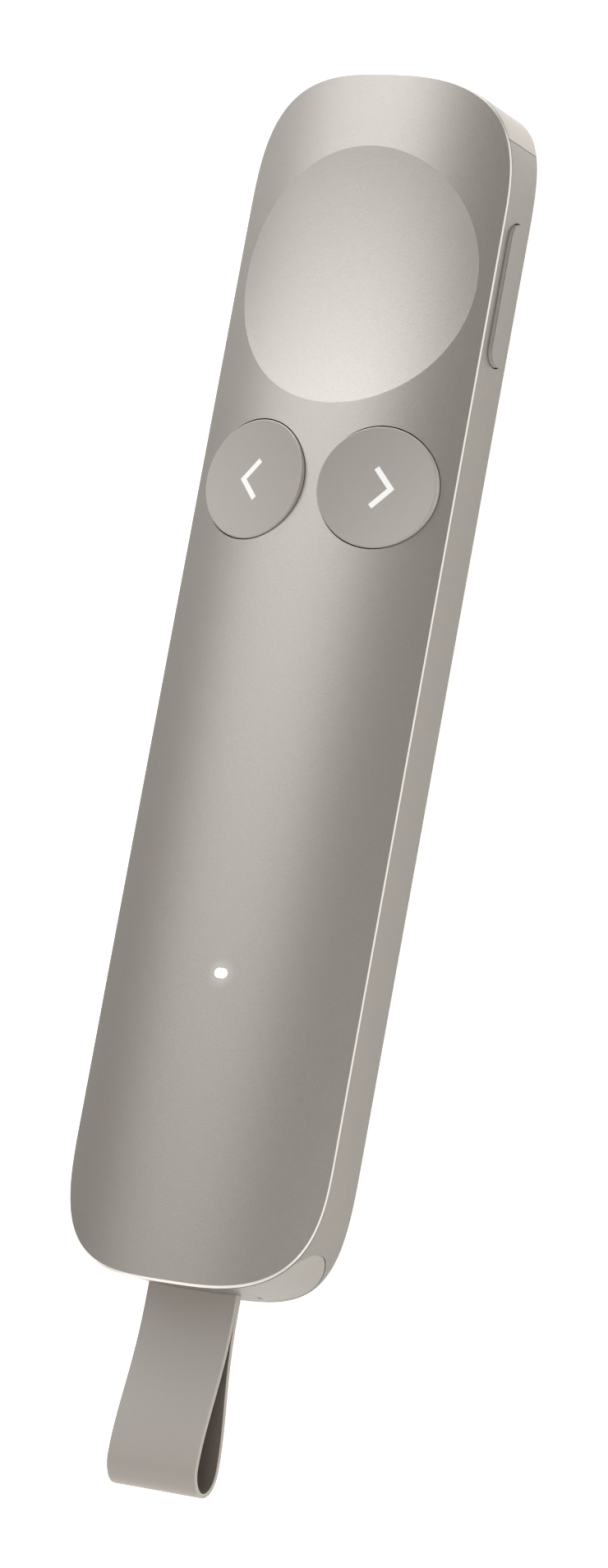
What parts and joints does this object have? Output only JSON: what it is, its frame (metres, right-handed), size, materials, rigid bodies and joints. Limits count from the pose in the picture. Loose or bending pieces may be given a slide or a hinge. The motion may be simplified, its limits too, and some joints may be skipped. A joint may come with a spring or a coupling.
{
  "type": "wireless presentation clicker",
  "caption": "Slim crowned presentation remote with a concave touch dish, round back and next buttons, a side button and a docked USB receiver on a wrist strap.",
  "frame": {"origin": "middle of the flat land along the back, where the clicker rests on a table", "axes": "+Z out of the front face, +Y along the body towards the touch dish, +X towards the side button"},
  "size_m": [0.032, 0.1526, 0.013],
  "materials": {
    "shell_aluminium": "bead-blasted and anodised, with a polished chamfer",
    "seal_black": "matt",
    "housing_satin": "satin",
    "cap_plastic": "satin",
    "button_satin": "satin, smoother than the shell",
    "side_satin": "satin",
    "icon_white": "white inlay",
    "switch_white": "plain moulded",
    "chip_black": "plain moulded",
    "lens_white": "milky, lit from behind",
    "flex_amber": "polyimide film",
    "frame_grey": "plain moulded",
    "board_green": "solder mask",
    "steel": "stamped",
    "ceramic": "fired",
    "battery_foil": "pouch foil",
    "pad_foam": "adhesive foam",
    "lead_red": "insulated wire",
    "receiver_satin": "satin",
    "strap_band": "smooth band with a paler cut edge"
  },
  "bodies": {
    "body": {"front_shell": "shell_aluminium", "edge_seal": "seal_black", "rear_housing": "housing_satin", "top_cap": "cap_plastic", "prev_switch": "chip_black", "next_switch": "chip_black", "side_switch": "chip_black", "led_lens": "lens_white", "status_led": "switch_white", "touch_sensor": "flex_amber", "sensor_carrier": "frame_grey", "main_pcb": "board_green", "frame_screws": "steel", "radio_chip": "chip_black", "shield_can": "steel", "motion_sensor": "chip_black", "power_chip": "chip_black", "antenna": "ceramic", "haptic_motor": "steel", "battery": "battery_foil", "battery_pad": "pad_foam", "battery_connector": "ceramic", "battery_leads": "lead_red", "usb_socket": "steel", "usb_tongue": "chip_black"},
    "prev": {"prev_button": "button_satin", "prev_icon": "icon_white", "prev_plunger": "switch_white"},
    "next": {"next_button": "button_satin", "next_icon": "icon_white", "next_plunger": "switch_white"},
    "side": {"side_button": "side_satin", "side_plunger": "switch_white"},
    "receiver": {"receiver_housing": "receiver_satin", "plug_base": "frame_grey", "plug_shell": "steel", "plug_core": "chip_black", "receiver_pcb": "board_green", "receiver_chip": "chip_black", "strap_pin": "steel", "strap": "strap_band"}
  },
  "joints": [
    {"name": "prev_button_press", "type": "slide", "parent": "body", "child": "prev", "axis": [0, 0, -1], "range_m": [0, 0.0003], "stiffness_N_per_m": 3000},
    {"name": "next_button_press", "type": "slide", "parent": "body", "child": "next", "axis": [0, 0, -1], "range_m": [0, 0.0003], "stiffness_N_per_m": 3000},
    {"name": "side_button_press", "type": "slide", "parent": "body", "child": "side", "axis": [-1, 0, 0], "range_m": [0, 0.0003], "stiffness_N_per_m": 3000},
    {"name": "receiver_slide", "type": "slide", "parent": "body", "child": "receiver", "axis": [0, -1, 0], "range_m": [0, 0.024]}
  ]
}
